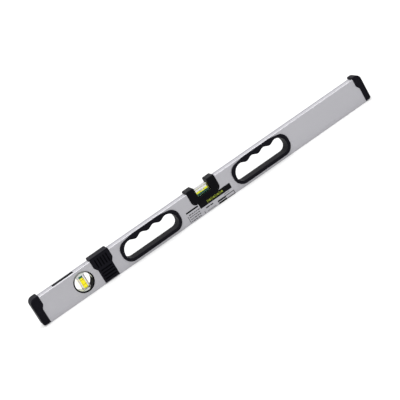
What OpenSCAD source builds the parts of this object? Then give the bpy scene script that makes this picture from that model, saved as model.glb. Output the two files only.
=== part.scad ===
// Magnetic box-section spirit level, 80 cm class.
// X runs along the beam, the front face looks along -Y, Z is up.
// The origin is the middle of the bottom working face.

/* [Beam] */
// Length of the aluminium extrusion
beam_l = 790; // [740:10:1000]
// Height of the box section
beam_h = 55.4; // [53:0.2:64]
// Thickness of the box section
beam_t = 21; // [20:1:26]
// Side wall of the box section
side_wall = 1.8; // [1.4:0.1:2.6]
// Top and bottom wall of the box section
edge_wall = 4.4; // [4:0.2:6]
// Radius of the long outer edges
edge_r = 1.4; // [0.8:0.2:1.8]
// Radius of the inner corners of the box section
inner_r = 1.2; // [0.6:0.2:2]
// Width of the shallow groove along the top edge
groove_w = 12; // [11:0.5:15]
// Depth of the shallow groove along the top edge
groove_d = 0.8; // [0.4:0.1:1.2]

/* [Rubber trim] */
// How far caps, saddle, grips and housing stand proud of the side faces
trim_t = 1.8; // [1.2:0.1:2.6]
// How far caps, saddle and housing stand proud of the top edge
trim_top = 4.2; // [3:0.1:5.4]
// Height of the rounding along the trim's upper edges
trim_crown = 3; // [1.8:0.2:4.6]
// Height of the trim's lower edge above the working face
trim_foot = 1.8; // [1:0.2:4]
// Height at which the S-shaped edges start to draw in
waist_high = 41; // [38:1:45]
// Height at which the S-shaped edges are fully drawn in
waist_low = 30; // [24:1:34]
// Sideways offset of the S-shaped edges
waist_step = 5.4; // [3:0.2:8]

/* [End caps] */
// Thickness of the cap's end wall
cap_end = 5; // [4.5:0.5:8]
// Width of the left cap's upper flank along the beam
left_cap_reach = 20.6; // [16:0.2:26]
// Width of the right cap's upper flank along the beam
right_cap_reach = 18; // [16:0.2:26]
// Radius of the cap's upper outer corner
cap_top_r = 9; // [5:0.5:12]
// Radius of the cap's lower outer corner
cap_foot_r = 4; // [2.5:0.5:8]
// Length of the plug inside the beam
plug_l = 24; // [16:1:40]
// Wall of the hollow plug
plug_wall = 2.2; // [1.6:0.2:3]
// Side of the plug's square pegs
peg_w = 6; // [4:0.5:8]
// Depth of the pegs in the cap
peg_l = 2.4; // [1.6:0.2:3]
// Distance of the pegs from the plug's upper and lower face
peg_inset = 3; // [2:0.5:5]

/* [Saddle] */
// Distance of the saddle's centre from the beam's left end
saddle_in = 154; // [150:1:158]
// Upper width of the saddle along the beam
saddle_w = 43.6; // [36:0.2:48]
// Radius of the saddle's upper corners
saddle_r = 2.4; // [1.6:0.2:4]
// Spacing of the ribs pressed into the saddle
rib_pitch = 5; // [4:0.5:7]
// Width of the grooves between the ribs
rib_gap = 1.2; // [0.8:0.1:1.8]
// Depth of the grooves between the ribs
rib_d = 0.5; // [0.3:0.1:0.8]

/* [Hand grips] */
// Distance of each grip's centre from its end of the beam
grip_in = 260.7; // [250:0.5:267]
// Outer width of the grip
grip_w = 138; // [134:1:144]
// Height of the grip's lower edge
grip_z0 = 5; // [4.2:0.2:6]
// Height of the grip's crown
grip_z1 = 54.4; // [53.8:0.2:54.8]
// Radius of the grip's lower corners
grip_foot_r = 20.5; // [19.5:0.5:22]
// Radius of the grip's shoulders
grip_shoulder_r = 19; // [18:0.5:20]
// Height of the centre of the grip's shoulders
grip_shoulder_z = 32; // [30:0.5:33]
// Radius of the grip's rounded edges
grip_edge = 1.2; // [0.8:0.1:1.4]
// Width of the flat crown above the finger grooves
grip_crown_w = 64; // [50:1:70]
// Width of the grip's rim around the hand hole
grip_rim = 6.8; // [6:0.2:7.4]
// Depth of the grip's rim above the finger grooves
grip_crown_rim = 7.6; // [7:0.2:9]
// Spacing of the finger grooves
finger_pitch = 28.5; // [26:0.5:29]
// Depth of the finger grooves
finger_d = 5; // [4:0.1:6]
// How far the grips stand proud of the side faces
grip_t = 2.6; // [1.8:0.1:3.2]
// How far the grip's flange reaches past the ends of the beam's hand hole
flange_end = 3.7; // [3.5:0.1:5]
// How far the grip's flange reaches past the hand hole above and below
flange_side = 4.7; // [4.4:0.1:5.4]
// Gap between the grip's lining and the beam's hole
lining_gap = 0.1; // [0.05:0.05:0.3]

/* [Vials] */
// Side of the square vial block
block_w = 16; // [15:0.5:17]
// Bore of the vial block
bore_d = 9; // [7:0.5:10]
// Length of the bubble
bubble_l = 9; // [6:0.5:10]
// Diameter of the bubble
bubble_d = 3.6; // [2.8:0.2:4]
// Distance between the marker rings, face to face
ring_gap = 9.4; // [8:0.2:12]
// Width of a marker ring
ring_w = 0.5; // [0.3:0.1:0.8]
// Depth of a marker ring in the bore's wall
ring_t = 0.4; // [0.2:0.1:0.6]
// Thickness of the wall or plug at each end of the bore
vial_end = 2.4; // [1.6:0.2:3]
// Radial gap between the liquid and the bore
film_gap = 0.05; // [0.03:0.01:0.1]
// Gap around the bubble
bubble_gap = 0.2; // [0.1:0.05:0.3]

/* [Centre vial] */
// Outer width of the centre housing
housing_w = 67.6; // [60:0.2:76]
// Height of the housing's lower edge
housing_z = 26; // [24:0.5:29]
// Radius of the housing's lower corners
housing_r = 10; // [6:0.5:11]
// Width of the window between the housing's arms
window_w = 30.8; // [28:0.2:34]
// Height of the window's sill
window_z = 36.6; // [35.4:0.2:38]
// Radius of the window's lower corners
sill_r = 1.6; // [0.8:0.2:3]
// Gap between the vial block's ends and the housing's arms
end_gap = 0.3; // [0.2:0.1:0.5]
// Width of the notch cut in the beam
notch_w = 48; // [44:1:54]
// Floor of the notch cut in the beam
notch_z = 32; // [31:0.5:33]
// Height of the centre vial block
centre_block_h = 18.4; // [17:0.2:22]
// Underside of the centre vial block
centre_block_z = 33.4; // [33.2:0.2:34]
// Height of the bore above the block's underside
centre_bore_up = 6.8; // [6.4:0.2:10]

/* [Plumb vial] */
// Distance of the plumb vial's centre from the beam's left end
plumb_in = 103; // [96:1:107]
// Height of the plumb vial's centre
plumb_z = 29; // [28:0.5:30]
// Outer diameter of the bezel's flange
bezel_d = 42.6; // [42:0.2:44]
// Clear inner diameter of the bezel
bezel_bore = 37.4; // [37:0.2:38.2]
// Wall of the bezel inside the beam's hole
bezel_wall = 1.2; // [1:0.1:1.4]
// Thickness of the bezel's flange
bezel_flange = 0.9; // [0.6:0.1:1.4]
// Gap between the bezel and the beam's hole
bezel_gap = 0.05; // [0.03:0.01:0.1]
// Height of the plumb vial block
plumb_block_h = 30.4; // [28:0.2:31]
// How far the plumb block's middle sits below the frame's centre
plumb_block_down = 1.2; // [0:0.1:1.4]
// Wall of the seats around the block's ends
seat_wall = 1; // [0.8:0.1:1.2]
// How far the seats reach over the block's ends
seat_lap = 0.6; // [0.4:0.1:1.2]

/* [Magnets and screw] */
// Distance of the top bar's centre from the beam's left end
top_magnet_in = 72.5; // [60:0.5:76]
// Length of the top bar
top_magnet_l = 47; // [38:1:52]
// Width of the top bar
top_magnet_w = 10.8; // [8:0.2:10.8]
// Distance of each base magnet's centre from its end of the beam
base_magnet_in = 170; // [135:1:180]
// Length of a base magnet
base_magnet_l = 40; // [30:1:50]
// Width of a base magnet
base_magnet_w = 10; // [8:0.5:12]
// Thickness of the magnets
magnet_t = 2.6; // [2:0.1:2.8]
// How far the magnets sit below the face around them
magnet_sunk = 0.1; // [0.05:0.05:0.3]
// Distance of the set screw from the beam's left end
screw_in = 123; // [121:1:126]
// Diameter of the set screw
screw_d = 3; // [2.5:0.5:4]
// Length of the set screw
screw_l = 3.2; // [2:0.2:3.4]
// Width across flats of the set screw's socket
socket_af = 1.5; // [1:0.1:1.6]
// Depth of the set screw's socket
socket_d = 1.4; // [0.8:0.2:1.6]
// How far the set screw sits below the groove
screw_sunk = 0.2; // [0.1:0.1:0.4]

/* [Hidden] */

rubber = "#1c1c1f";
aluminium = "#b2b1b5";
clear = "#dcdcee";
fluid = "#e8e400";
round_fn = 96;
cut = 1;
half_t = beam_t / 2;
skin_y = half_t + trim_t;
crown_share = trim_crown / trim_t;
grip_y = half_t + grip_t;
trim_z1 = beam_h + trim_top;
beam_end = beam_l / 2;
saddle_x = saddle_in - beam_end;
grip_x = beam_end - grip_in;
plumb_x = plumb_in - beam_end;
top_magnet_x = top_magnet_in - beam_end;
base_magnet_x = beam_end - base_magnet_in;
screw_x = screw_in - beam_end;
groove_z = beam_h - groove_d;
bore_r = bore_d / 2;
bubble_up = bore_r - bubble_d / 2 - bubble_gap;
centre_bore_z = centre_block_z + centre_bore_up;
centre_block_l = window_w - 2 * end_gap;
hole_z = grip_z0 + (grip_z1 - grip_z0) / 2;
hole_w = grip_w - 2 * flange_end;
hole_h = grip_z1 - grip_z0 - 2 * flange_side;
lining_r = hole_h / 2 - lining_gap;
lining_w = hole_w - 2 * lining_gap;
bezel_sleeve = bezel_bore + 2 * bezel_wall;
bezel_hole = bezel_sleeve + 2 * bezel_gap;
magnet_seat = magnet_t + magnet_sunk;

// Quarter-round of the trim's edges, as [outward share, inset share] of
// trim_t. The last step runs on past the skin.
edge_steps = concat([for (a = [0, 30, 60]) [sin(a), 1 - cos(a)]], [[1.25 - sin(60) / 4, 1.125]]);

// Smooth step from 0 to 1.
function ease(t) = (1 - cos(180 * t)) / 2;

// Points on an arc about c, from angle a0 to a1 in n steps.
function arc(c, r, a0, a1, n) =
    [for (i = [0:n]) let (a = a0 + (a1 - a0) * i / n) c + r * [cos(a), sin(a)]];

// Points down an S-shaped edge from x0 above the waist to x1 below it.
function s_edge(x0, x1, n) =
    [for (i = [0:n]) [x0 + (x1 - x0) * ease(i / n), waist_high + (waist_low - waist_high) * i / n]];

function mirror_x(p) = [for (i = [len(p) - 1:-1:0]) [-p[i][0], p[i][1]]];

// Solid between outlines in XZ, given as [y, points] from front to rear.
module loft_y(rings) {
    n = len(rings[0][1]);
    m = len(rings);
    points = [for (r = rings) for (p = r[1]) [p[0], r[0], p[1]]];
    sides = [
        for (j = [0:m - 2])
            for (i = [0:n - 1])
                let (a = j * n + i, b = j * n + (i + 1) % n)
                    each [[a, b, a + n], [b, b + n, a + n]]
    ];
    front = [for (i = [n - 1:-1:0]) i];
    rear = [for (i = [0:n - 1]) (m - 1) * n + i];
    polyhedron(points, concat([front], sides, [rear]));
}

// Closed ring swept along stations, each a loop of [x, y, z] points.
module ring_loft(stations) {
    n = len(stations);
    m = len(stations[0]);
    points = [for (s = stations) for (p = s) p];
    faces = [
        for (i = [0:n - 1])
            for (j = [0:m - 1])
                let (a = i * m + j, b = i * m + (j + 1) % m, k = ((i + 1) % n - i) * m)
                    each [[a, b, a + k], [b, b + k, a + k]]
    ];
    polyhedron(points, faces);
}

// Trim body over both faces of the beam with rounded edges, trimmed flat at
// the skin. The outline comes from a function literal that takes its inset.
module trim_body(outline) {
    front = [for (i = [3:-1:0]) [-half_t - trim_t * edge_steps[i][0], outline(trim_t * edge_steps[i][1])]];
    rear = [for (i = [0:3]) [half_t + trim_t * edge_steps[i][0], outline(trim_t * edge_steps[i][1])]];
    intersection() {
        loft_y(concat(front, rear));
        translate([-beam_l, -skin_y, -cut])
            cube([2 * beam_l, 2 * skin_y, 2 * beam_h]);
    }
}

// The space that the beam's box section takes between two stations.
module beam_space(x0, x1) {
    translate([x0, -half_t, -cut])
        cube([x1 - x0, beam_t, beam_h + cut]);
}

module rounded_rect(w, h, r) {
    translate([r, 0]) square([w - 2 * r, h]);
    translate([0, r]) square([w, h - 2 * r]);
    for (x = [r, w - r])
        for (y = [r, h - r])
            translate([x, y]) circle(r, $fn = 32);
}

// Round-ended slot through the beam's faces.
module slot_y(w, h, depth) {
    r = h / 2;
    translate([-w / 2 + r, -depth / 2, -r])
        cube([w - h, depth, h]);
    for (x = [-w / 2 + r, w / 2 - r])
        translate([x, 0, 0])
            rotate([90, 0, 0])
                cylinder(depth, r = r, center = true, $fn = round_fn);
}

module magnet_pocket(x, l, w, z) {
    translate([x - l / 2, -w / 2, z])
        cube([l, w, magnet_seat + cut]);
}

module beam() {
    color(aluminium)
        difference() {
            rotate([90, 0, 90])
                linear_extrude(beam_l, center = true)
                    difference() {
                        translate([-half_t, 0])
                            rounded_rect(beam_t, beam_h, edge_r);
                        translate([-half_t + side_wall, edge_wall])
                            rounded_rect(beam_t - 2 * side_wall, beam_h - 2 * edge_wall, inner_r);
                        translate([-groove_w / 2, groove_z])
                            square([groove_w, groove_d + cut]);
                    }
            for (side = [-1, 1])
                translate([side * grip_x, 0, hole_z])
                    slot_y(hole_w, hole_h, beam_t + 2 * cut);
            translate([-notch_w / 2, -half_t - cut, notch_z])
                cube([notch_w, beam_t + 2 * cut, beam_h]);
            translate([plumb_x, 0, plumb_z])
                rotate([90, 0, 0])
                    cylinder(beam_t + 2 * cut, d = bezel_hole, center = true, $fn = round_fn);
            magnet_pocket(top_magnet_x, top_magnet_l, top_magnet_w, beam_h - magnet_seat);
            for (side = [-1, 1])
                magnet_pocket(side * base_magnet_x, base_magnet_l, base_magnet_w, -cut);
            translate([screw_x, 0, beam_h - edge_wall - cut])
                cylinder(edge_wall + 2 * cut, d = screw_d + 2 * film_gap, $fn = 48);
        }
}

// Outline of a right-hand cap seen from the front, drawn in by d.
function cap_outline(reach, d) =
    let (
        x_in = beam_end + cap_end - reach + d,
        x_out = beam_end + cap_end - d,
        z0 = trim_foot + d,
        z1 = trim_z1 - crown_share * d,
        r_in = saddle_r - d / 2
    )
    concat(
        arc([x_in + r_in, z1 - r_in], r_in, 90, 180, 4),
        s_edge(x_in, x_in + waist_step, 8),
        [[x_in + waist_step, z0]],
        arc([x_out - cap_foot_r + d, z0 + cap_foot_r - d], cap_foot_r - d, 270, 360, 5),
        arc([x_out - cap_top_r + d, z1 - cap_top_r + d], cap_top_r - d, 0, 90, 8)
    );

module end_cap(reach) {
    color(rubber)
        difference() {
            trim_body(function(d) cap_outline(reach, d));
            beam_space(0, beam_end);
            plug_pegs();
        }
}

module plug_pegs() {
    for (z = [edge_wall + peg_inset, beam_h - edge_wall - peg_inset - peg_w])
        translate([beam_end - cut, -peg_w / 2, z])
            cube([peg_l + cut, peg_w, peg_w]);
}

// Hollow plug in the box section, with two pegs in the cap's end wall.
module cap_plug() {
    w = beam_t - 2 * side_wall;
    h = beam_h - 2 * edge_wall;
    color("#2a2a2d")
        union() {
            difference() {
                translate([beam_end - plug_l, 0, edge_wall])
                    rotate([90, 0, 90])
                        linear_extrude(plug_l)
                            translate([-w / 2, 0])
                                rounded_rect(w, h, inner_r);
                translate([beam_end - plug_l - cut, -w / 2 + plug_wall, edge_wall + plug_wall])
                    cube([plug_l - plug_wall + cut, w - 2 * plug_wall, h - 2 * plug_wall]);
            }
            plug_pegs();
        }
}

module right_end_cap() {
    end_cap(right_cap_reach);
}

module left_end_cap() {
    mirror([1, 0, 0]) end_cap(left_cap_reach);
}

module right_cap_plug() {
    cap_plug();
}

module left_cap_plug() {
    mirror([1, 0, 0]) cap_plug();
}

// Outline of the saddle seen from the front, drawn in by d.
function saddle_half(d) =
    let (
        x = saddle_w / 2 - d,
        z1 = trim_z1 - crown_share * d,
        r = saddle_r - d / 2
    )
    concat(
        arc([-x + r, z1 - r], r, 90, 180, 4),
        s_edge(-x, -x + waist_step, 8),
        [[-x + waist_step, trim_foot + d]]
    );

function saddle_outline(d) = concat(saddle_half(d), mirror_x(saddle_half(d)));

// Grooves between the ribs: upright above the waist, level below it.
module saddle_grooves() {
    upper = floor((saddle_w / 2 - 4) / rib_pitch);
    lower = floor((waist_low - trim_foot - 3) / rib_pitch);
    low_w = saddle_w - 2 * waist_step - 7;
    for (side = [-1, 1])
        translate([0, side * skin_y, 0]) {
            for (i = [-upper:upper])
                translate([i * rib_pitch - rib_gap / 2, -rib_d, waist_high - 6])
                    cube([rib_gap, 2 * rib_d, beam_h - waist_high + 4]);
            for (i = [0:lower - 1])
                translate([-low_w / 2, -rib_d, waist_low - 2 - i * rib_pitch])
                    cube([low_w, 2 * rib_d, rib_gap]);
        }
}

module rubber_saddle() {
    color(rubber)
        translate([saddle_x, 0, 0])
            difference() {
                trim_body(function(d) saddle_outline(d));
                beam_space(-saddle_w, saddle_w);
                saddle_grooves();
            }
}

// Half of the grip's outer outline, from the middle of its foot to the
// middle of its crown, drawn in by d.
function grip_outer_half(d) =
    let (
        x = grip_w / 2,
        crown = grip_crown_w / 2
    )
    concat(
        [for (i = [0:3]) [i * (x - grip_foot_r) / 4, grip_z0 + d]],
        arc([x - grip_foot_r, grip_z0 + grip_foot_r], grip_foot_r - d, 270, 360, 9),
        arc([x - grip_shoulder_r, grip_shoulder_z], grip_shoulder_r - d, 0, 76, 8),
        [for (i = [0:12]) [crown * (1 - i / 12), grip_z1 - d]]
    );

// Half of the hand hole's outline with the finger grooves, widened by d.
function grip_inner_half(d) =
    let (
        x = grip_w / 2 - grip_rim,
        z0 = grip_z0 + grip_rim,
        z1 = grip_z1 - grip_crown_rim,
        r0 = grip_foot_r - grip_rim,
        groove_x = 1.5 * finger_pitch,
        rise = z1 - (z0 + r0)
    )
    concat(
        [for (i = [0:3]) [i * (x - r0) / 4, z0 - d]],
        arc([x - r0, z0 + r0], r0 + d, 270, 360, 9),
        [for (i = [1:7]) let (a = 90 * i / 8)
            [groove_x + (x - groove_x + d) * cos(a), z0 + r0 + (rise + d) * sin(a)]],
        [for (i = [0:14]) let (s = groove_x * (1 - i / 14))
            [s, z1 + d - finger_d / 2 * (1 + cos(360 * s / finger_pitch))]]
    );

// Half of the lining's outer outline inside the beam's slot.
function grip_lining_half() =
    let (c = lining_w / 2 - lining_r)
    concat(
        [for (i = [0:3]) [i * c / 4, hole_z - lining_r]],
        arc([c, hole_z], lining_r, 270, 360, 9),
        [for (i = [1:7]) let (a = 90 * i / 8) [c + lining_r * cos(a), hole_z + lining_r * sin(a)]],
        [for (i = [0:14]) [c * (1 - i / 14), hole_z + lining_r]]
    );

// Closed outline from its half, whose first and last points lie on x = 0.
function whole(half) = concat(half, [for (i = [len(half) - 2:-1:1]) [-half[i][0], half[i][1]]]);

// Front half of a grip: flange on the beam's face and lining in its hole.
module grip_half() {
    e = grip_edge;
    b = e * (1 - cos(45));
    outer = [for (d = [0, 0, b, e]) whole(grip_outer_half(d))];
    outer_y = [half_t, grip_y - e, grip_y - b, grip_y];
    inner = [for (d = [e, b, 0, 0]) whole(grip_inner_half(d))];
    inner_y = [grip_y, grip_y - b, grip_y - e, 0];
    lining = whole(grip_lining_half());
    ring_loft([
        for (i = [0:len(lining) - 1])
            concat(
                [for (j = [0:3]) [outer[j][i][0], -outer_y[j], outer[j][i][1]]],
                [for (j = [0:3]) [inner[j][i][0], -inner_y[j], inner[j][i][1]]],
                [for (y = [0, half_t]) [lining[i][0], -y, lining[i][1]]]
            )
    ]);
}

module left_grip_front() {
    color(rubber) translate([-grip_x, 0, 0]) grip_half();
}

module left_grip_rear() {
    mirror([0, 1, 0]) left_grip_front();
}

module right_grip_front() {
    color(rubber) translate([grip_x, 0, 0]) grip_half();
}

module right_grip_rear() {
    mirror([0, 1, 0]) right_grip_front();
}

// Right half of the centre housing's outline, drawn in by d, from its
// lower corner over the arm to the window's sill.
function housing_half(d) =
    let (
        x = housing_w / 2 - d,
        w = window_w / 2 + d,
        z1 = trim_z1 - crown_share * d,
        r = saddle_r - d / 2
    )
    concat(
        arc([x + d - housing_r, housing_z + housing_r], housing_r - d, 270, 360, 7),
        arc([x - r, z1 - r], r, 0, 90, 4),
        arc([w + r, z1 - r], r, 90, 180, 4),
        arc([w - d - sill_r, window_z + sill_r], sill_r + d, 0, -90, 3)
    );

function housing_outline(d) = concat(housing_half(d), mirror_x(housing_half(d)));

// Housing that straddles the beam's top edge, with a block that fills the
// notch and a pocket for the vial block between its arms.
module centre_vial_housing() {
    color(rubber)
        difference() {
            trim_body(function(d) housing_outline(d));
            difference() {
                beam_space(-housing_w, housing_w);
                translate([-notch_w / 2, -half_t - cut, notch_z])
                    cube([notch_w, beam_t + 2 * cut, beam_h]);
            }
            translate([-centre_block_l / 2, -block_w / 2, centre_block_z])
                cube([centre_block_l, block_w, beam_h]);
        }
}

// Vial pieces lie along X with the bore's axis on the origin and the
// bubble's side up. The plug closes the +X end.
module in_centre() {
    translate([0, 0, centre_bore_z]) children();
}

// The plumb vial stands upright, with its bubble's side towards +X.
module in_plumb() {
    translate([plumb_x, 0, plumb_z - plumb_block_down]) rotate([0, 90, 0]) children();
}

module bar_x(r, x0, x1) {
    translate([x0, 0, 0])
        rotate([0, 90, 0])
            cylinder(x1 - x0, r = r, $fn = round_fn);
}

module vial_block(l, w, z0, h) {
    color(clear)
        difference() {
            translate([-l / 2, -w / 2, z0])
                cube([l, w, h]);
            bar_x(bore_r, -l / 2 + vial_end, l / 2 + cut);
            for (side = [-1, 1])
                translate([side * (ring_gap + ring_w) / 2, 0, 0])
                    bar_x(bore_r + ring_t, -ring_w / 2, ring_w / 2);
        }
}

module vial_liquid(l) {
    channel_r = bubble_d / 2 + bubble_gap;
    x = l / 2 - vial_end;
    color(fluid)
        difference() {
            bar_x(bore_r - film_gap, -x, x);
            translate([0, 0, bubble_up]) {
                bar_x(channel_r, -x - cut, x + cut);
                translate([-x - cut, -channel_r, 0])
                    cube([2 * x + 2 * cut, 2 * channel_r, bore_r]);
            }
        }
}

module vial_bubble() {
    color("#f2f4e6")
        translate([0, 0, bubble_up])
            rotate([0, 90, 0])
                rotate_extrude($fn = 48)
                    polygon([for (i = [0:14]) let (a = 180 * i / 14)
                        [bubble_d / 2 * pow(sin(a), 0.7), -bubble_l / 2 * cos(a)]]);
}

module vial_rings() {
    color("#101012")
        for (side = [-1, 1])
            translate([side * (ring_gap + ring_w) / 2, 0, 0])
                difference() {
                    bar_x(bore_r + ring_t - film_gap, -ring_w / 2, ring_w / 2);
                    bar_x(bore_r, -ring_w, ring_w);
                }
}

module vial_plug(l) {
    color("#d8d8e4")
        bar_x(bore_r - film_gap, l / 2 - vial_end, l / 2);
}

module centre_vial_block() {
    in_centre() vial_block(centre_block_l, block_w, -centre_bore_up, centre_block_h);
}

module centre_vial_liquid() {
    in_centre() vial_liquid(centre_block_l);
}

module centre_vial_bubble() {
    in_centre() vial_bubble();
}

module centre_vial_rings() {
    in_centre() vial_rings();
}

module centre_vial_plug() {
    in_centre() vial_plug(centre_block_l);
}

// Front half of the round frame, with seats that clasp the vial block.
module bezel_half() {
    seat_x = block_w / 2 + seat_wall;
    seat_y = block_w / 2 + seat_wall;
    seat_high = plumb_block_h / 2 - seat_lap - plumb_block_down;
    seat_low = seat_lap - plumb_block_h / 2 - plumb_block_down;
    bore_r0 = bezel_bore / 2;
    lip = bezel_flange / 2;
    difference() {
        union() {
            rotate([90, 0, 0])
                rotate_extrude($fn = round_fn)
                    polygon([
                        [bore_r0, 0],
                        [bezel_sleeve / 2, 0],
                        [bezel_sleeve / 2, half_t],
                        [bezel_d / 2, half_t],
                        [bezel_d / 2, half_t + bezel_flange - lip],
                        [bezel_d / 2 - lip, half_t + bezel_flange],
                        [bore_r0, half_t + bezel_flange],
                    ]);
            intersection() {
                rotate([90, 0, 0])
                    cylinder(seat_y, r = (bezel_bore + bezel_wall) / 2, $fn = round_fn);
                for (z = [seat_low - bezel_d, seat_high])
                    translate([-seat_x, -seat_y - cut, z])
                        cube([2 * seat_x, seat_y + cut, bezel_d]);
            }
        }
        translate([0, 0, -plumb_block_down])
            cube([block_w, block_w, plumb_block_h], center = true);
    }
}

module plumb_bezel_front() {
    color(rubber) translate([plumb_x, 0, plumb_z]) bezel_half();
}

module plumb_bezel_rear() {
    mirror([0, 1, 0]) plumb_bezel_front();
}

module plumb_vial_block() {
    in_plumb() vial_block(plumb_block_h, block_w, -block_w / 2, block_w);
}

module plumb_vial_liquid() {
    in_plumb() vial_liquid(plumb_block_h);
}

// At rest the bubble stands at the top end of its bore.
module plumb_vial_bubble() {
    travel = plumb_block_h / 2 - vial_end - bubble_l / 2 - bubble_gap;
    in_plumb() translate([-travel, 0, 0]) vial_bubble();
}

module plumb_vial_rings() {
    in_plumb() vial_rings();
}

module plumb_vial_plug() {
    in_plumb() vial_plug(plumb_block_h);
}

module top_magnet() {
    color("#161618")
        translate([top_magnet_x - top_magnet_l / 2, -top_magnet_w / 2, beam_h - magnet_seat])
            cube([top_magnet_l, top_magnet_w, magnet_t]);
}

module base_magnets() {
    color("#161618")
        for (side = [-1, 1])
            translate([side * base_magnet_x - base_magnet_l / 2, -base_magnet_w / 2, magnet_sunk])
                cube([base_magnet_l, base_magnet_w, magnet_t]);
}

module top_set_screw() {
    top = groove_z - screw_sunk;
    color("#5a5a5e")
        translate([screw_x, 0, top - screw_l])
            difference() {
                cylinder(screw_l, d = screw_d, $fn = 48);
                translate([0, 0, screw_l - socket_d])
                    cylinder(socket_d + cut, d = socket_af / cos(30), $fn = 6);
            }
}

beam();
left_end_cap();
right_end_cap();
left_cap_plug();
right_cap_plug();
rubber_saddle();
left_grip_front();
left_grip_rear();
right_grip_front();
right_grip_rear();
centre_vial_housing();
centre_vial_block();
centre_vial_liquid();
centre_vial_bubble();
centre_vial_rings();
centre_vial_plug();
plumb_bezel_front();
plumb_bezel_rear();
plumb_vial_block();
plumb_vial_liquid();
plumb_vial_bubble();
plumb_vial_rings();
plumb_vial_plug();
top_magnet();
base_magnets();
top_set_screw();
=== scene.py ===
import math

import bpy
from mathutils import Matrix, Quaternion, Vector


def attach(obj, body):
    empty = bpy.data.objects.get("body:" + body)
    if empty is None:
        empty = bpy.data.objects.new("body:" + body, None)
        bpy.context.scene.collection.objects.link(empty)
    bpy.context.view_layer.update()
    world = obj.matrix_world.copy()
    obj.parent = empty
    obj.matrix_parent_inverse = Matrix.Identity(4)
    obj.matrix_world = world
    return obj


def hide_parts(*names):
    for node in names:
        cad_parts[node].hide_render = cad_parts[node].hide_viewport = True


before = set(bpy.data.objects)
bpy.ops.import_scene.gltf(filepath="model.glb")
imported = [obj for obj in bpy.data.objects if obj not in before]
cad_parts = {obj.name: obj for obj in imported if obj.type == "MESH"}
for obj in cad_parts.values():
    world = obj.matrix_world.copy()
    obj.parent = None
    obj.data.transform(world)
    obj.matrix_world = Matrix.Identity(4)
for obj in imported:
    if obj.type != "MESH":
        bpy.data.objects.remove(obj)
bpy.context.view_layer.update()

bpy.ops.object.select_all(action="DESELECT")

# The studio: a pale floor under the working face, soft boxes round the level,
# and the camera as far off, as high and as tilted as in the photograph.
aim = Vector((-0.0125, 0.0, 0.0275))
distance = 2.727
azimuth, elevation, tilt = (math.radians(angle) for angle in (14.35, 18.12, 30.32))
away = Vector(
    (
        -math.sin(azimuth) * math.cos(elevation),
        -math.cos(azimuth) * math.cos(elevation),
        math.sin(elevation),
    )
)
bpy.ops.object.camera_add(location=aim + distance * away)
camera = bpy.context.object
camera.rotation_mode = "QUATERNION"
camera.rotation_quaternion = (-away).to_track_quat("-Z", "Y") @ Quaternion((0, 0, 1), -tilt)
camera.data.lens = 125.9
camera.data.sensor_width = 36
camera.data.clip_end = 200
bpy.context.scene.camera = camera
bpy.context.scene.view_settings.view_transform = "Standard"


class Wire:
    """An output of a shader node, which can be used in sums and products."""

    def __init__(self, shading, socket):
        self.shading = shading
        self.socket = socket

    def also(self, output):
        return Wire(self.shading, self.socket.node.outputs[output])

    def work(self, operation, first, second):
        return self.shading.node("ShaderNodeMath", {"operation": operation}, {0: first, 1: second})

    def __add__(self, other):
        return self.work("ADD", self, other)

    def __sub__(self, other):
        return self.work("SUBTRACT", self, other)

    def __rsub__(self, other):
        return self.work("SUBTRACT", other, self)

    def __mul__(self, other):
        return self.work("MULTIPLY", self, other)

    def __or__(self, other):
        return self.work("MAXIMUM", self, other)

    __radd__ = __add__
    __rmul__ = __mul__


class Shading:
    """The nodes of one material, or of the air round the level."""

    def __init__(self, owner):
        owner.use_nodes = True
        self.owner = owner
        self.tree = owner.node_tree

    def node(self, kind, settings=None, values=None, output=0):
        made = self.tree.nodes.new(kind)
        for key, value in (settings or {}).items():
            setattr(made, key, value)
        for key, value in (values or {}).items():
            self.feed(made.inputs[key], value)
        return Wire(self, made.outputs[output])

    def feed(self, socket, value):
        if isinstance(value, Wire):
            self.tree.links.new(value.socket, socket)
        else:
            socket.default_value = value

    def background_rays(self):
        """1 where a ray shows the background, straight or by way of metal or glass."""
        ray = self.node("ShaderNodeLightPath", output="Is Camera Ray")
        return ray | ray.also("Is Glossy Ray") | ray.also("Is Transmission Ray")


world = bpy.data.worlds.new("studio_air")
bpy.context.scene.world = world
air = Shading(world)
sky = air.tree.nodes["Background"]
air.feed(sky.inputs["Color"], (1, 1, 1, 1))
air.feed(sky.inputs["Strength"], 0.3 + 0.7 * air.background_rays())

bpy.ops.mesh.primitive_plane_add(size=40)
floor = bpy.context.object
floor.name = "studio_floor"
paper = Shading(bpy.data.materials.new("pale_paper"))
lit = paper.node("ShaderNodeBsdfDiffuse", None, {"Color": (0.62, 0.62, 0.62, 1)})
glow = paper.node("ShaderNodeEmission", None, {"Strength": 0.4 * paper.background_rays()})
paper.feed(
    paper.tree.nodes["Material Output"].inputs["Surface"],
    paper.node("ShaderNodeAddShader", None, {0: lit, 1: glow}),
)
floor.data.materials.append(paper.owner)

for name, side, strength, softness in (
    ("key_light", (-0.10, -0.52, 1.0), 0.9, 50),
    ("overhead_light", (0.05, 0.12, 1.0), 2.2, 45),
):
    bpy.ops.object.light_add(type="SUN", location=aim + Vector(side))
    lamp = bpy.context.object
    lamp.name = name
    lamp.data.energy = strength
    lamp.data.angle = math.radians(softness)
    lamp.rotation_mode = "QUATERNION"
    lamp.rotation_quaternion = (-Vector(side)).to_track_quat("-Z", "Y")


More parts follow.
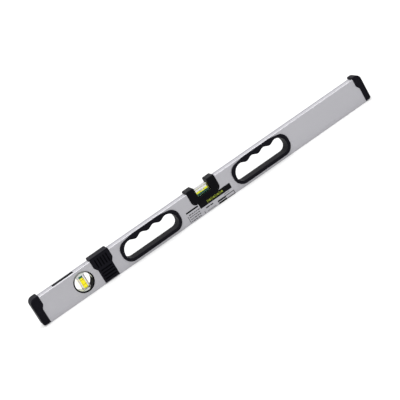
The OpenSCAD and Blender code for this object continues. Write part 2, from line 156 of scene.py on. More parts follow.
# The beam: a box-section aluminium extrusion, satin anodised, with the fine
# lines that the die leaves along it and pockets cut through its walls.
class Finish(Shading):
    """A surface with one Principled shader, patterned in the piece's own place."""

    def __init__(self, name, fixed):
        super().__init__(bpy.data.materials.new(name))
        self.shader = self.tree.nodes["Principled BSDF"]
        for key, value in fixed.items():
            self.feed(self.shader.inputs[key], value)
        self.place = self.node("ShaderNodeTexCoord", output="Object")

    def drive(self, key, value):
        self.feed(self.shader.inputs[key], value)

    def grain(self, scale, detail, stretch=(1, 1, 1)):
        """Noise from 0 to 1 with so many cells to the metre, drawn out along the small factors."""
        drawn = self.node("ShaderNodeMapping", None, {"Vector": self.place, "Scale": stretch})
        return self.node(
            "ShaderNodeTexNoise", None, {"Vector": drawn, "Scale": scale, "Detail": detail}
        )

    def height(self, axis):
        return self.node("ShaderNodeSeparateXYZ", None, {"Vector": self.place}, output=axis)

    def step(self, value, low, high):
        """0 below low, 1 above high, smooth between."""
        return self.node(
            "ShaderNodeMapRange",
            {"interpolation_type": "SMOOTHSTEP"},
            {"Value": value, "From Min": low, "From Max": high},
        )

    def blend(self, factor, first, second):
        return self.node(
            "ShaderNodeMix", {"data_type": "RGBA"}, {0: factor, 6: first, 7: second}, output=2
        )

    def mottle(self, scale, detail, first, second):
        """Base colour in soft spots between two colours; gives the spots, from 0 to 1."""
        spots = self.grain(scale, detail)
        self.drive("Base Color", self.blend(spots, (*first, 1), (*second, 1)))
        return spots

    def bump(self, height, strength, distance):
        self.drive(
            "Normal",
            self.node(
                "ShaderNodeBump",
                None,
                {"Height": height, "Strength": strength, "Distance": distance},
            ),
        )


def coat(finish, *nodes):
    """Gives CAD nodes, which stay as they are, a finish."""
    for node in nodes:
        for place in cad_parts[node].material_slots:
            place.material = finish.owner


half_t, beam_h, beam_end = 0.0105, 0.0554, 0.395
satin = Finish("satin_anodised_aluminium", {"Metallic": 0.5, "Specular IOR Level": 0.3})
die_lines = satin.grain(1, 5, (5, 1500, 1500))
cloud = satin.mottle(14, 2, (0.495, 0.49, 0.52), (0.535, 0.53, 0.56))
satin.drive("Roughness", 0.36 + 0.1 * cloud + 0.1 * die_lines)
satin.bump(die_lines, 0.12, 0.0002)
coat(satin, "beam")

# The print on the front face: a black panel with plain olive graduations, black
# bars, rows of fine grey strokes and the outline of a table, all pad-printed.
film = 0.00006
group_pitch, row_pitch, row_shift = 0.0098, 0.0046, 0.0009
stroke_l, stroke_more, stroke_h, stroke_gap = 0.0024, 0.0026, 0.0017, 0.0014
tick_share, tick_h = 0.62, 0.0013


def flat_shape(name, outlines, front, depth):
    """Flat shapes over outlines of (x, z) points, from y = front back through depth."""
    parts = []
    for outline in outlines:
        bpy.ops.mesh.primitive_circle_add(vertices=len(outline), fill_type="NGON")
        parts.append(bpy.context.object)
        for corner, (x, z) in zip(parts[-1].data.vertices, outline):
            corner.co = (x, front, z)
    bpy.ops.object.select_all(action="DESELECT")
    for part in parts:
        part.select_set(True)
    bpy.ops.object.join()
    piece = bpy.context.object
    piece.name = name
    bpy.ops.object.mode_set(mode="EDIT")
    bpy.ops.mesh.select_all(action="SELECT")
    bpy.ops.mesh.extrude_region_move(TRANSFORM_OT_translate={"value": (0, depth, 0)})
    bpy.ops.mesh.select_all(action="SELECT")
    bpy.ops.mesh.normals_make_consistent(inside=False)
    bpy.ops.object.mode_set(mode="OBJECT")
    return piece


def bar(low_x, high_x, low_z, high_z):
    return [(low_x, low_z), (high_x, low_z), (high_x, high_z), (low_x, high_z)]


def ink(name, colour):
    made = Finish(name, {"Roughness": 0.5, "Specular IOR Level": 0.08})
    speck = made.mottle(900, 2, [0.8 * part for part in colour], colour)
    made.bump(speck, 0.1, 0.0001)
    return made


black_ink = ink("black_ink", (0.0035, 0.0034, 0.0046))
grey_ink = ink("grey_ink", (0.045, 0.045, 0.05))
olive_ink = ink("olive_ink", (0.42, 0.50, 0.06))

graduations = []
for group in range(4):
    low = -0.0040 + group_pitch * group
    graduations.append(bar(low, low + 0.0009, 0.0170, 0.0236))
    graduations.append(bar(low + 0.0024, low + 0.0033, 0.0182, 0.0224))
    graduations.append(bar(low + 0.0046, low + 0.0083, 0.0184, 0.0222))
fine_strokes = [bar(-0.0538, -0.0528, 0.0015, 0.0168), bar(-0.0190, -0.0180, 0.0015, 0.0066)]
for row in range(4):
    start = -0.0508 + row_shift * (row % 2)
    low = 0.0026 + row_pitch * row
    for stroke in range(5):
        end = start + stroke_l + stroke_more * ((5 * row + 3 * stroke) % 4) / 3
        fine_strokes.append(bar(start, end, low, low + stroke_h))
        start = end + stroke_gap
for low_x, high_x, low, count in ((-0.0120, 0.0091, 0.0026, 9), (0.0328, 0.0459, 0.0114, 5)):
    pitch = (high_x - low_x) / count
    for tick in range(count):
        start = low_x + pitch * tick
        fine_strokes.append(bar(start, start + tick_share * pitch, low, low + tick_h))
for name, shapes, finish, layer in (
    ("print_panel", [bar(-0.0226, 0.0532, 0.0148, 0.0261)], black_ink, 1),
    ("print_graduations", graduations, olive_ink, 2),
    (
        "print_rules",
        [
            bar(-0.0534, -0.0249, 0.0219, 0.0251),
            bar(-0.0126, -0.0036, 0.0093, 0.0116),
            bar(-0.0024, 0.0045, 0.0091, 0.0113),
        ],
        black_ink,
        1,
    ),
    ("print_strokes", fine_strokes, grey_ink, 1),
    (
        "print_table",
        [
            bar(0.0144, 0.0336, 0.0055, 0.0086),
            bar(0.0146, 0.0340, 0.0008, 0.0040),
            bar(0.0336, 0.0542, 0.0073, 0.0086),
            bar(0.0352, 0.0542, 0.0010, 0.0023),
            bar(0.0530, 0.0542, 0.0023, 0.0073),
        ],
        black_ink,
        1,
    ),
):
    piece = flat_shape(name, shapes, -half_t - layer * film, layer * film)
    piece.data.materials.append(finish.owner)
    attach(piece, "level")


# The end caps: black rubber mouldings pushed over the beam's ends and their
# plugs, with an S-shaped edge, rounded rims and a sunk panel on each side.
rim = 0.0018
skin = half_t + rim
trim_top = beam_h + 0.0042
trim_crown = 0.003
trim_foot = 0.0018
waist = (0.041, 0.030, 0.0054)
lip_r = 0.0024
crown_below, crown_over = 0.012, 0.008
past = 0.001


def pick(piece):
    bpy.ops.object.select_all(action="DESELECT")
    piece.select_set(True)
    bpy.context.view_layer.objects.active = piece


def mark_edges(piece, test):
    """Selects the edges that pass a test, and stays in edit mode."""
    pick(piece)
    bpy.ops.object.mode_set(mode="EDIT")
    bpy.ops.mesh.select_mode(type="EDGE")
    bpy.ops.mesh.select_all(action="DESELECT")
    bpy.ops.object.mode_set(mode="OBJECT")
    for edge in piece.data.edges:
        edge.select = test(edge)
    bpy.ops.object.mode_set(mode="EDIT")


def apply(piece, kind, **settings):
    """Adds a modifier to a piece and applies it."""
    pick(piece)
    bpy.ops.object.modifier_add(type=kind)
    modifier = piece.modifiers[-1]
    for key, value in settings.items():
        setattr(modifier, key, value)
    bpy.ops.object.modifier_apply(modifier=modifier.name)


def moulding(name, outline):
    """A block over an outline of (x, z) points, as thick as the skins, with round rims."""
    piece = flat_shape(name, [outline], -skin, 2 * skin)

    def on_rim(edge):
        first, second = (piece.data.vertices[n].co.y for n in edge.vertices)
        return first * second > 0

    mark_edges(piece, on_rim)
    bpy.ops.mesh.bevel(offset=rim, segments=6, affect="EDGES")
    bpy.ops.object.mode_set(mode="OBJECT")
    for corner in piece.data.vertices:
        turn = min(1, max(0, (abs(corner.co.y) - half_t) / rim))
        drawn_in = rim * (1 - math.sqrt(1 - turn * turn))
        high = min(1, max(0, (corner.co.z - trim_top + crown_below) / crown_over))
        corner.co.z -= (trim_crown / rim - 1) * drawn_in * high * high * (3 - 2 * high)
    return piece


def cut_out(piece, tool):
    """Takes the tool's shape out of a piece, and then the tool away."""
    apply(piece, "BOOLEAN", operation="DIFFERENCE", object=tool, solver="EXACT")
    bpy.data.objects.remove(tool)


def sink_panel(piece, outline, depth):
    """Sinks a panel over an outline of (x, z) points in both skins."""
    for front in (-skin - past, skin - depth):
        cut_out(piece, flat_shape("panel_tool", [outline], front, depth + past))


def cut_boxes(piece, boxes):
    """Takes boxes, each between a low and a high corner, out of a piece."""
    bpy.ops.object.select_all(action="DESELECT")
    made = []
    for low, high in boxes:
        size = [b - a for a, b in zip(low, high)]
        middle = [(a + b) / 2 for a, b in zip(low, high)]
        bpy.ops.mesh.primitive_cube_add(size=1, location=middle, scale=size)
        made.append(bpy.context.object)
    for box in made:
        box.select_set(True)
    bpy.ops.object.join()
    cut_out(piece, bpy.context.object)


def finish_piece(piece, finish, body, slot, *nodes, angle=35):
    """Smooths a piece, gives it its finish, and lets it stand for its CAD nodes."""
    pick(piece)
    bpy.ops.object.shade_smooth_by_angle(angle=math.radians(angle))
    apply(piece, "WEIGHTED_NORMAL", keep_sharp=True)
    piece.data.materials.clear()
    piece.data.materials.append(finish.owner)
    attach(piece, body)
    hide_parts(*nodes)


def arc(x, z, radius, start, end, steps):
    turn = [math.radians(start + (end - start) * n / steps) for n in range(steps + 1)]
    return [(x + radius * math.cos(a), z + radius * math.sin(a)) for a in turn]


def s_edge(high_x, low_x, steps=20):
    """An S-shaped edge down from the waist's top to its foot."""
    high, low, _ = waist
    return [
        (
            high_x + (low_x - high_x) * (1 - math.cos(math.pi * n / steps)) / 2,
            high + (low - high) * n / steps,
        )
        for n in range(steps + 1)
    ]


rubber = Finish(
    "black_moulded_rubber",
    {"Specular IOR Level": 0.085, "Specular Tint": (0.93, 0.92, 1.0, 1)},
)
stipple = rubber.grain(2600, 2)
bloom = rubber.mottle(55, 3, (0.0038, 0.0035, 0.0062), (0.0074, 0.0070, 0.0106))
rubber.drive("Roughness", 0.5 + 0.14 * bloom)
rubber.bump(stipple, 0.25, 0.00012)

cap_out = beam_end + 0.005
cap_r, toe_r = 0.0115, 0.004
panel_in, panel_d = 0.0034, 0.0004
peg, peg_end, peg_places = 0.006, beam_end + 0.0024, (0.0074, beam_h - 0.0134)


def cap_outline(reach, d):
    """The right-hand cap seen from the front, drawn in by d."""
    near = cap_out - reach + d
    top = trim_top - d * trim_crown / rim
    return (
        arc(near + lip_r, top - lip_r, lip_r, 90, 180, 6)
        + s_edge(near, near + waist[2])
        + [(near + waist[2], trim_foot + d)]
        + arc(cap_out - toe_r, trim_foot + toe_r, toe_r - d, 270, 360, 10)
        + arc(cap_out - cap_r, top - cap_r + d, cap_r - d, 0, 90, 16)
    )


for side, name, reach in ((1, "right", 0.018), (-1, "left", 0.0206)):
    cap = moulding(f"{name}_cap", [(side * x, z) for x, z in cap_outline(reach, 0)])
    sink_panel(cap, [(side * x, z) for x, z in cap_outline(reach, panel_in)], panel_d)
    near, far = sorted((0.0, side * beam_end))
    cut_boxes(cap, [((near, -half_t, -past), (far, half_t, beam_h))])
    near, far = sorted((side * (beam_end - past), side * peg_end))
    cut_boxes(cap, [((near, -peg / 2, z), (far, peg / 2, z + peg)) for z in peg_places])
    finish_piece(cap, rubber, "level", "trim_rubber", f"{name}_end_cap")

inner_plastic = Finish("black_hard_plastic", {})
speckle = inner_plastic.mottle(700, 3, (0.016, 0.016, 0.018), (0.024, 0.024, 0.027))
inner_plastic.drive("Roughness", 0.38 + 0.15 * speckle)
inner_plastic.bump(speckle, 0.15, 0.0001)
coat(inner_plastic, "left_cap_plug", "right_cap_plug")

# The saddle: a rubber strap moulded over the top edge and down both faces,
# waisted like the caps, with shallow ribs on its sides and painted shade in the gaps between.
saddle_x = 0.154 - beam_end
saddle_w = 0.0436
rib_pitch, rib_gap, rib_d = 0.0063, 0.0022, 0.0005
upright_low, upright_high = waist[0] - 0.006, beam_h - 0.002
level_top, level_w = waist[1] - 0.0032, saddle_w - 2 * waist[2] - 0.007
gap_floor, gap_slack = skin - rib_d, 0.0003


def mirrored(outline):
    return outline + [(-x, z) for x, z in reversed(outline)]


def bevel_edges(piece, width, angle):
    """Rounds the edges that turn by more than an angle."""
    apply(
        piece,
        "BEVEL",
        width=width,
        segments=2,
        limit_method="ANGLE",
        angle_limit=math.radians(angle),
    )


def second_finish(piece, finish, test):
    """Gives a finish to the faces that pass a test on the face and its corners' places."""
    piece.data.materials.append(finish.owner)
    for face in piece.data.polygons:
        if test(face, [piece.data.vertices[n].co for n in face.vertices]):
            face.material_index = len(piece.data.materials) - 1


saddle_half = (
    arc(-saddle_w / 2 + lip_r, trim_top - lip_r, lip_r, 90, 180, 6)
    + s_edge(-saddle_w / 2, -saddle_w / 2 + waist[2])
    + [(-saddle_w / 2 + waist[2], trim_foot)]
)
saddle = moulding("saddle", [(saddle_x + x, z) for x, z in mirrored(saddle_half)])
beam_box = (
    (saddle_x - saddle_w, -half_t, -past),
    (saddle_x + saddle_w, half_t, beam_h),
)
cut_boxes(saddle, [beam_box])
gaps = []
for side_y in (-skin, skin):
    for n in range(-2, 3):
        x = saddle_x + n * rib_pitch
        gaps.append(
            (
                (x - rib_gap / 2, side_y - rib_d, upright_low),
                (x + rib_gap / 2, side_y + rib_d, upright_high),
            )
        )
    for n in range(4):
        z = level_top - n * rib_pitch
        gaps.append(
            (
                (saddle_x - level_w / 2, side_y - rib_d, z),
                (saddle_x + level_w / 2, side_y + rib_d, z + rib_gap),
            )
        )
cut_boxes(saddle, gaps)
bevel_edges(saddle, 0.00022, 50)
finish_piece(saddle, rubber, "level", "trim_rubber", "rubber_saddle")


def in_a_gap(face, corners):
    return all(abs(abs(c.y) - gap_floor) < gap_slack for c in corners)


# The groove floors are painted near-black with no shine, as painted shade between the ribs.
groove_shade_rubber = Finish("rubber_in_the_grooves", {"Specular IOR Level": 0.0, "Roughness": 0.7})
groove_shade_rubber.mottle(900, 2, (0.0008, 0.0008, 0.0013), (0.0020, 0.0020, 0.0028))
second_finish(saddle, groove_shade_rubber, in_a_gap)

# The hand grips: two rubber halves for each hand hole, pushed in from both
# faces, with a rounded flange, four finger grooves and a lining in the hole.
grip_x = beam_end - 0.2607
grip_y = half_t + 0.0026
grip_w, grip_z0, grip_z1 = 0.138, 0.005, 0.0544
grip_foot_r, grip_shoulder_r, grip_shoulder_z = 0.0205, 0.019, 0.032
grip_rim, grip_crown_rim, grip_edge, crown = 0.0068, 0.0076, 0.0012, 0.032
finger_pitch, finger_d = 0.0285, 0.005
hole_z = (grip_z0 + grip_z1) / 2
lap_z, lap_x, ease = 0.0047, 0.0037, 0.0001
lining_r = (grip_z1 - grip_z0) / 2 - lap_z - ease
lining_c = grip_w / 2 - lap_x - ease - lining_r
foot_n, bend_n, shoulder_n, shoulder_turn, crown_n = 4, 9, 8, 76, 12


def grip_outer(d):
    """Half of the flange's outline, from the foot's middle to the crown's, drawn in by d."""
    x = grip_w / 2
    return (
        [(n * (x - grip_foot_r) / foot_n, grip_z0 + d) for n in range(foot_n)]
        + arc(x - grip_foot_r, grip_z0 + grip_foot_r, grip_foot_r - d, 270, 360, bend_n)
        + arc(
            x - grip_shoulder_r,
            grip_shoulder_z,
            grip_shoulder_r - d,
            0,
            shoulder_turn,
            shoulder_n,
        )
        + [(crown * (1 - n / crown_n), grip_z1 - d) for n in range(crown_n + 1)]
    )


def grip_inner(d):
    """Half of the hand hole with its finger grooves, widened by d, in as many points."""
    x = grip_w / 2 - grip_rim
    foot, top, r = grip_z0 + grip_rim, grip_z1 - grip_crown_rim, grip_foot_r - grip_rim
    groove_x, rise = 1.5 * finger_pitch, top - foot - r
    half = [(n * (x - r) / foot_n, foot - d) for n in range(foot_n)]
    half += arc(x - r, foot + r, r + d, 270, 360, bend_n)
    for n in range(1, shoulder_n):
        a = math.pi / 2 * n / shoulder_n
        half.append(
            (groove_x + (x - groove_x + d) * math.cos(a), foot + r + (rise + d) * math.sin(a))
        )
    for n in range(crown_n + 3):
        s = groove_x * (1 - n / (crown_n + 2))
        wave = 1 + math.cos(2 * math.pi * s / finger_pitch)
        half.append((s, top + d - finger_d / 2 * wave))
    return half


def grip_lining():
    """Half of the lining's outline inside the beam's hand hole, in as many points."""
    return (
        [(n * lining_c / foot_n, hole_z - lining_r) for n in range(foot_n)]
        + arc(lining_c, hole_z, lining_r, 270, 360, bend_n)
        + arc(lining_c, hole_z, lining_r, 0, 90, shoulder_n)[1:shoulder_n]
        + [(lining_c * (1 - n / (crown_n + 2)), hole_z + lining_r) for n in range(crown_n + 3)]
    )


def whole(half):
    return half + [(-x, z) for x, z in half[-2:0:-1]]


fold = grip_edge * (1 - math.cos(math.radians(45)))
rings = [
    (y, whole(half))
    for y, half in (
        (-half_t, grip_outer(0)),
        (-grip_y + grip_edge, grip_outer(0)),
        (-grip_y + fold, grip_outer(fold)),
        (-grip_y, grip_outer(grip_edge)),
        (-grip_y, grip_inner(grip_edge)),
        (-grip_y + fold, grip_inner(fold)),
        (-grip_y + grip_edge, grip_inner(0)),
        (0, grip_inner(0)),
        (0, grip_lining()),
        (-half_t, grip_lining()),
    )
]
hard_rings = (0, 7, 8, 9)


def on_hard_ring(edge):
    first, second = (n % len(rings) for n in edge.vertices)
    return first == second and first in hard_rings


for side, name in ((-1, "left"), (1, "right")):
    for face, half in ((1, "front"), (-1, "rear")):
        bpy.ops.mesh.primitive_torus_add(
            major_segments=len(rings[0][1]), minor_segments=len(rings)
        )
        grip = bpy.context.object
        grip.name = f"{name}_hand_grip_{half}"
        for n, corner in enumerate(grip.data.vertices):
            y, loop = rings[n % len(rings)]
            x, z = loop[n // len(rings)]
            corner.co = (side * grip_x + x, face * y, z)
        mark_edges(grip, on_hard_ring)
        bpy.ops.transform.edge_crease(value=1)
        bpy.ops.mesh.select_all(action="SELECT")
        bpy.ops.mesh.normals_make_consistent(inside=False)
        bpy.ops.object.mode_set(mode="OBJECT")
        apply(grip, "SUBSURF", levels=2, render_levels=2)
        finish_piece(grip, rubber, "level", "trim_rubber", f"{name}_grip_{half}", angle=50)

# The centre housing: a smoother black moulding that straddles the top edge,
# fills the notch and holds the vial block between its two arms.
housing_plastic = Finish("black_housing_plastic", {"Specular IOR Level": 0.055})
haze = housing_plastic.mottle(40, 3, (0.0026, 0.0025, 0.0040), (0.0048, 0.0046, 0.0066))
fine = housing_plastic.grain(1800, 2)
housing_plastic.drive("Roughness", 0.36 + 0.16 * haze)
housing_plastic.bump(fine, 0.18, 0.0001)

housing_w, housing_z, housing_r = 0.0676, 0.026, 0.010
window_w, window_z, sill_r = 0.0308, 0.0366, 0.0016
notch_w, notch_z = 0.048, 0.032
block_w, centre_block_z, centre_block_l = 0.016, 0.0334, 0.0302
housing_half = (
    arc(housing_w / 2 - housing_r, housing_z + housing_r, housing_r, 270, 360, 14)
    + arc(housing_w / 2 - lip_r, trim_top - lip_r, lip_r, 0, 90, 6)
    + arc(window_w / 2 + lip_r, trim_top - lip_r, lip_r, 90, 180, 6)
    + arc(window_w / 2 - sill_r, window_z + sill_r, sill_r, 0, -90, 5)
)
housing = moulding("vial_housing", mirrored(housing_half))
beam_beside = [
    ((-housing_w, -half_t, -past), (-notch_w / 2, half_t, beam_h)),
    ((notch_w / 2, -half_t, -past), (housing_w, half_t, beam_h)),
]
beam_below = ((-notch_w, -half_t, -past), (notch_w, half_t, notch_z))
vial_seat = (
    (-centre_block_l / 2, -block_w / 2, centre_block_z),
    (centre_block_l / 2, block_w / 2, trim_top + past),
)
for boxes in (beam_beside, [beam_below], [vial_seat]):
    cut_boxes(housing, boxes)
finish_piece(housing, housing_plastic, "level", "housing_plastic", "centre_vial_housing")

# The plumb frame: two round plastic halves that close on the clear block in
# the beam's round hole, with a flange on each face and a pale sleeve inside.
plumb_x, plumb_z = 0.103 - beam_end, 0.029
bore_wall = 0.01872
# Where the sleeve's painted shade falls: near its rims, and in a wedge from the lower right.
shade_r, shade_y2, shade_wedge_at = (0.0182, 0.0185), (0.00004, 0.00006), (0.0195, 0.0222)
# Heights over which the frame's painted light comes in towards its top.
lit_top_z = (0.036, 0.049)


def welded(name, node):
    """A copy of a CAD node's mesh with its triangles joined, to be refined."""
    pick(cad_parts[node])
    bpy.ops.object.duplicate()
    piece = bpy.context.object
    piece.name = name
    piece.parent = None
    for key in list(piece.keys()):
        del piece[key]
    bpy.ops.object.mode_set(mode="EDIT")
    bpy.ops.mesh.select_all(action="SELECT")
    bpy.ops.mesh.remove_doubles(threshold=0.000002)
    bpy.ops.mesh.dissolve_limited(angle_limit=math.radians(1))
    bpy.ops.object.mode_set(mode="OBJECT")
    return piece


# The frame is near-black below and painted pale grey in spots towards the top, as painted light.
frame_plastic = Finish("black_frame_plastic", {"Specular IOR Level": 0.01, "Roughness": 0.5})
lit_top_spots = frame_plastic.grain(120, 3)
upper = frame_plastic.step(frame_plastic.height("Z"), *lit_top_z)
painted_lit_top = frame_plastic.blend(lit_top_spots, (0.22, 0.23, 0.22, 1), (0.31, 0.32, 0.30, 1))
frame_plastic.drive(
    "Base Color", frame_plastic.blend(upper, (0.0012, 0.0012, 0.0018, 1), painted_lit_top)
)

# The sleeve is opaque and glows by emission in its own pale colour, as painted light. A wedge on
# its lower right and a band near its rims on both faces are painted shade in near-black.
sleeve = Finish("clear_sleeve", {"Specular IOR Level": 0.0, "Emission Strength": 0.25})
ripple = sleeve.grain(160, 3)
aslant = sleeve.height("X") - sleeve.height("Z") - (plumb_x - plumb_z)
painted_shade_wedge = sleeve.step(aslant, *shade_wedge_at)
lit_sleeve = sleeve.blend(ripple, (0.62, 0.67, 0.60, 1), (0.94, 0.95, 0.92, 1))
from_axis = sleeve.node(
    "ShaderNodeMapping",
    None,
    {"Vector": sleeve.place, "Location": (-plumb_x, 0, -plumb_z), "Scale": (1, 0, 1)},
)
radius = sleeve.node(
    "ShaderNodeVectorMath", {"operation": "LENGTH"}, {0: from_axis}, output="Value"
)
depth = sleeve.height("Y")
rim_shade = sleeve.step(radius, *shade_r) * sleeve.step(depth * depth, *shade_y2)
sleeve_colour = sleeve.blend(painted_shade_wedge | rim_shade, lit_sleeve, (0.026, 0.027, 0.030, 1))
sleeve.drive("Base Color", sleeve_colour)
sleeve.drive("Emission Color", sleeve_colour)
sleeve.drive("Roughness", 0.35 + 0.2 * ripple)


def in_bore(face, corners):
    return all(math.hypot(c.x - plumb_x, c.z - plumb_z) < bore_wall for c in corners)


for half in ("front", "rear"):
    bezel = welded(f"plumb_frame_{half}", f"plumb_bezel_{half}")
    bevel_edges(bezel, 0.00025, 40)
    finish_piece(bezel, frame_plastic, "level", "housing_plastic", f"plumb_bezel_{half}")
    second_finish(bezel, sleeve, in_bore)

# The vials: clear blocks bored from one end, filled with yellow-green liquid
# round a bubble, with two black rings in the bore and a plug at its end.
bore_r, vial_end = 0.0045, 0.0024
bore_cut_r, fill_r, bubble_r = bore_r + 0.000045, bore_r + 0.00005, bore_r + 0.000055
ring_in_r, ring_out_r = bore_r + 0.00008, bore_r + 0.0003
ring_gap, ring_w = 0.0094, 0.0005
bubble_l, bubble_turn, bubble_blunt, bubble_film, bubble_clear = 0.009, 52, 0.9, 0.00002, 0.0002
block_edge, fill_edge, hair, flat_normal = 0.0009, 0.0003, 0.00001, 0.98

clear = Finish(
    "clear_acrylic",
    {"Transmission Weight": 1.0, "IOR": 1.34, "Specular IOR Level": 0.2, "Roughness": 0.02},
)
clear.mottle(60, 2, (0.93, 0.93, 0.96), (0.97, 0.96, 0.98))

frosted = Finish("frosted_acrylic", {"Transmission Weight": 0.8, "IOR": 1.49, "Roughness": 0.25})
frosted.mottle(90, 2, (0.62, 0.60, 0.68), (0.70, 0.68, 0.76))

frosted_top = Finish("frosted_top", {"Transmission Weight": 0.35, "IOR": 1.49, "Roughness": 0.3})
frosted_top.mottle(90, 2, (0.66, 0.64, 0.66), (0.76, 0.74, 0.76))

# The centre block's rounded edges are painted yellow-olive as painted light from the liquid.
edge_glow = Finish("edge_glow", {"Transmission Weight": 0.2, "IOR": 1.49, "Roughness": 0.15})
edge_glow.mottle(150, 2, (0.22, 0.225, 0.02), (0.34, 0.34, 0.05))

# The plumb block's top end is painted near-white and opaque as painted light.
bright_end = Finish("bright_end", {"IOR": 1.49, "Roughness": 0.3})
bright_end.mottle(90, 2, (0.90, 0.88, 0.90), (0.98, 0.96, 0.98))

# The plumb block's rounded edges are painted pale as painted reflection.
pale_edge = Finish("pale_edge", {"Transmission Weight": 0.4, "IOR": 1.49, "Roughness": 0.2})
pale_edge.mottle(150, 2, (0.42, 0.40, 0.44), (0.56, 0.53, 0.58))

bed = Finish("black_bed", {"Specular IOR Level": 0.2, "Roughness": 0.5})
bed.mottle(400, 2, (0.006, 0.007, 0.004), (0.014, 0.017, 0.008))

marker = Finish("marker_ring_black", {"Roughness": 0.4})
marker.mottle(1500, 2, (0.01, 0.01, 0.012), (0.018, 0.018, 0.02))

air_bubble = Finish("bubble_air", {"Roughness": 0.12})
air_bubble.mottle(300, 2, (0.72, 0.73, 0.80), (0.84, 0.85, 0.90))


def liquid(name, lowest, *bands):
    """Liquid with a painted glow by emission, its lowest colour and bands of (from, to, colour) up
    the height.
    """
    made = Finish(
        name,
        {
            "Transmission Weight": 0.12,
            "IOR": 1.33,
            "Specular IOR Level": 0.1,
            "Roughness": 0.05,
            "Emission Strength": 0.45,
        },
    )
    shade = (*lowest, 1)
    for low, high, colour in bands:
        shade = made.blend(made.step(made.height("Z"), low, high), shade, (*colour, 1))
    made.drive("Base Color", shade)
    made.drive("Emission Color", shade)
    return made


def place_vial(piece, centre, turned):
    """Moves a piece made with the bore along X to its place, upright for the plumb vial."""
    pick(piece)
    piece.rotation_euler = (0, math.pi / 2 if turned else 0, 0)
    piece.location = centre
    bpy.ops.object.transform_apply(location=True, rotation=True, scale=True)


def rod(radius, low, high):
    """A rod along X between two stations."""
    bpy.ops.mesh.primitive_cylinder_add(
        vertices=96,
        radius=radius,
        depth=high - low,
        location=((low + high) / 2, 0, 0),
        rotation=(0, math.pi / 2, 0),
    )
    bpy.ops.object.transform_apply(location=True, rotation=True, scale=True)
    return bpy.context.object


def is_rounding(face, corners):
    return max(abs(part) for part in face.normal) < flat_normal


def vial(name, centre, turned, length, low, high, filling):
    """Block, liquid and rings of one vial, with the block from low to high."""
    bpy.ops.mesh.primitive_cube_add(
        size=1, location=(0, 0, (low + high) / 2), scale=(length, block_w, high - low)
    )
    bpy.ops.object.transform_apply(location=True, rotation=True, scale=True)
    block = bpy.context.object
    block.name = f"{name}_block"
    apply(block, "BEVEL", width=block_edge, segments=3)
    cut_out(block, rod(bore_cut_r, -length / 2 + vial_end, length / 2 + past))
    place_vial(block, centre, turned)
    finish_piece(block, clear, "level", "clear_block", f"{name}_vial_block")
    back, end = block_w / 2 - hair, length / 2 - hair
    top = centre[2] + (length / 2 if turned else high) - hair
    foot = centre[2] + low + hair
    # The plumb block takes painted light on its top end and edges, the centre block on its edges.
    top_finish, edge_finish = (bright_end, pale_edge) if turned else (frosted_top, edge_glow)
    second_finish(block, frosted, lambda face, at: all(c.y > back for c in at))
    second_finish(block, top_finish, lambda face, at: all(c.z > top for c in at))
    second_finish(block, edge_finish, is_rounding)
    if not turned:
        second_finish(block, bed, lambda face, at: all(abs(c.x) > end for c in at))
        second_finish(block, bed, lambda face, at: all(c.z < foot for c in at))

    fill = rod(fill_r, -length / 2 + vial_end, length / 2 - vial_end)
    fill.name = f"{name}_liquid"
    bevel_edges(fill, fill_edge, 50)
    place_vial(fill, centre, turned)
    finish_piece(fill, filling, "level", "vial_liquid", f"{name}_vial_liquid")

    pair = []
    for side in (-1, 1):
        middle = side * (ring_gap + ring_w) / 2
        ring = rod(ring_out_r, middle - ring_w / 2, middle + ring_w / 2)
        cut_out(ring, rod(ring_in_r, middle - ring_w, middle + ring_w))
        pair.append(ring)
    pick(pair[0])
    pair[1].select_set(True)
    bpy.ops.object.join()
    rings_piece = bpy.context.object
    rings_piece.name = f"{name}_rings"
    place_vial(rings_piece, centre, turned)
    finish_piece(rings_piece, marker, "level", "marker_black", f"{name}_vial_rings")


def bubble(name, centre, turned, shift):
    """A bubble pressed against the bore's upper side, as a patch with rounded ends."""
    bpy.ops.mesh.primitive_grid_add(x_subdivisions=24, y_subdivisions=16, size=1)
    patch = bpy.context.object
    patch.name = f"{name}_bubble"
    for corner in patch.data.vertices:
        u, v = 2 * corner.co.x, 2 * corner.co.y
        along = u * math.sqrt(1 - v * v / 2)
        across = v * math.sqrt(1 - u * u / 2)
        turn = math.radians(bubble_turn) * across
        along = shift + bubble_l / 2 * math.copysign(abs(along) ** bubble_blunt, along)
        corner.co = (along, bubble_r * math.sin(turn), bubble_r * math.cos(turn))
    apply(patch, "SOLIDIFY", thickness=bubble_film, offset=1)
    place_vial(patch, centre, turned)
    finish_piece(patch, air_bubble, f"{name}_bubble", "bubble", f"{name}_vial_bubble", angle=60)


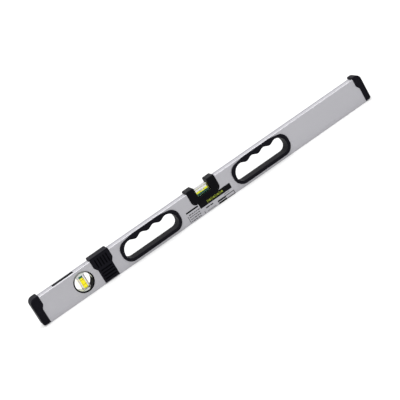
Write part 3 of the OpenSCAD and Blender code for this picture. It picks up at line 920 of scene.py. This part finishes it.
under_bore, over_bore = 0.0068, 0.0116
# Below its band the centre liquid is painted deep green as painted shade; above is its own
# yellow-green.
shaded_deep_green, bright_green = (0.0005, 0.07, 0.042), (0.84, 0.88, 0.02)
centre_at = (0, 0, centre_block_z + under_bore)
centre_liquid = liquid("centre_liquid", shaded_deep_green, (0.0415, 0.0425, bright_green))
vial("centre", centre_at, False, centre_block_l, -under_bore, over_bore, centre_liquid)
bubble("centre", centre_at, False, 0)

plumb_block_h, plumb_drop = 0.0304, 0.0012
# The plumb liquid is olive at its foot and yellow above; the dark green band at its top is painted
# shadow.
olive, yellow, shaded_top_green = (0.45, 0.50, 0.01), (0.96, 0.84, 0.001), (0.01, 0.15, 0.08)
plumb_at = (plumb_x, 0, plumb_z - plumb_drop)
plumb_liquid = liquid(
    "plumb_liquid", olive, (0.0148, 0.0185, yellow), (0.0362, 0.0374, shaded_top_green)
)
vial("plumb", plumb_at, True, plumb_block_h, -block_w / 2, block_w / 2, plumb_liquid)
bubble("plumb", plumb_at, True, bubble_l / 2 + bubble_clear + vial_end - plumb_block_h / 2)

pale_plug = Finish("pale_plug", {"Transmission Weight": 0.3, "IOR": 1.49, "Roughness": 0.3})
pale_plug.mottle(200, 2, (0.80, 0.80, 0.86), (0.92, 0.92, 0.96))
coat(pale_plug, "plumb_vial_plug")
coat(bed, "centre_vial_plug")

# The magnets and the set screw: sintered black bars let into the top edge and
# the working face, and a small blackened screw beside the saddle.
sinter = Finish("black_sintered_magnet", {"Specular IOR Level": 0.02})
pits = sinter.mottle(1400, 4, (0.002, 0.002, 0.003), (0.005, 0.005, 0.006))
sinter.drive("Roughness", 0.45 + 0.2 * pits)
sinter.bump(pits, 0.3, 0.0001)
coat(sinter, "top_magnet", "base_magnets")

steel = Finish("blackened_steel", {"Metallic": 0.9})
oxide = steel.mottle(1200, 3, (0.03, 0.03, 0.035), (0.08, 0.08, 0.085))
steel.drive("Roughness", 0.35 + 0.2 * oxide)
coat(steel, "top_set_screw")
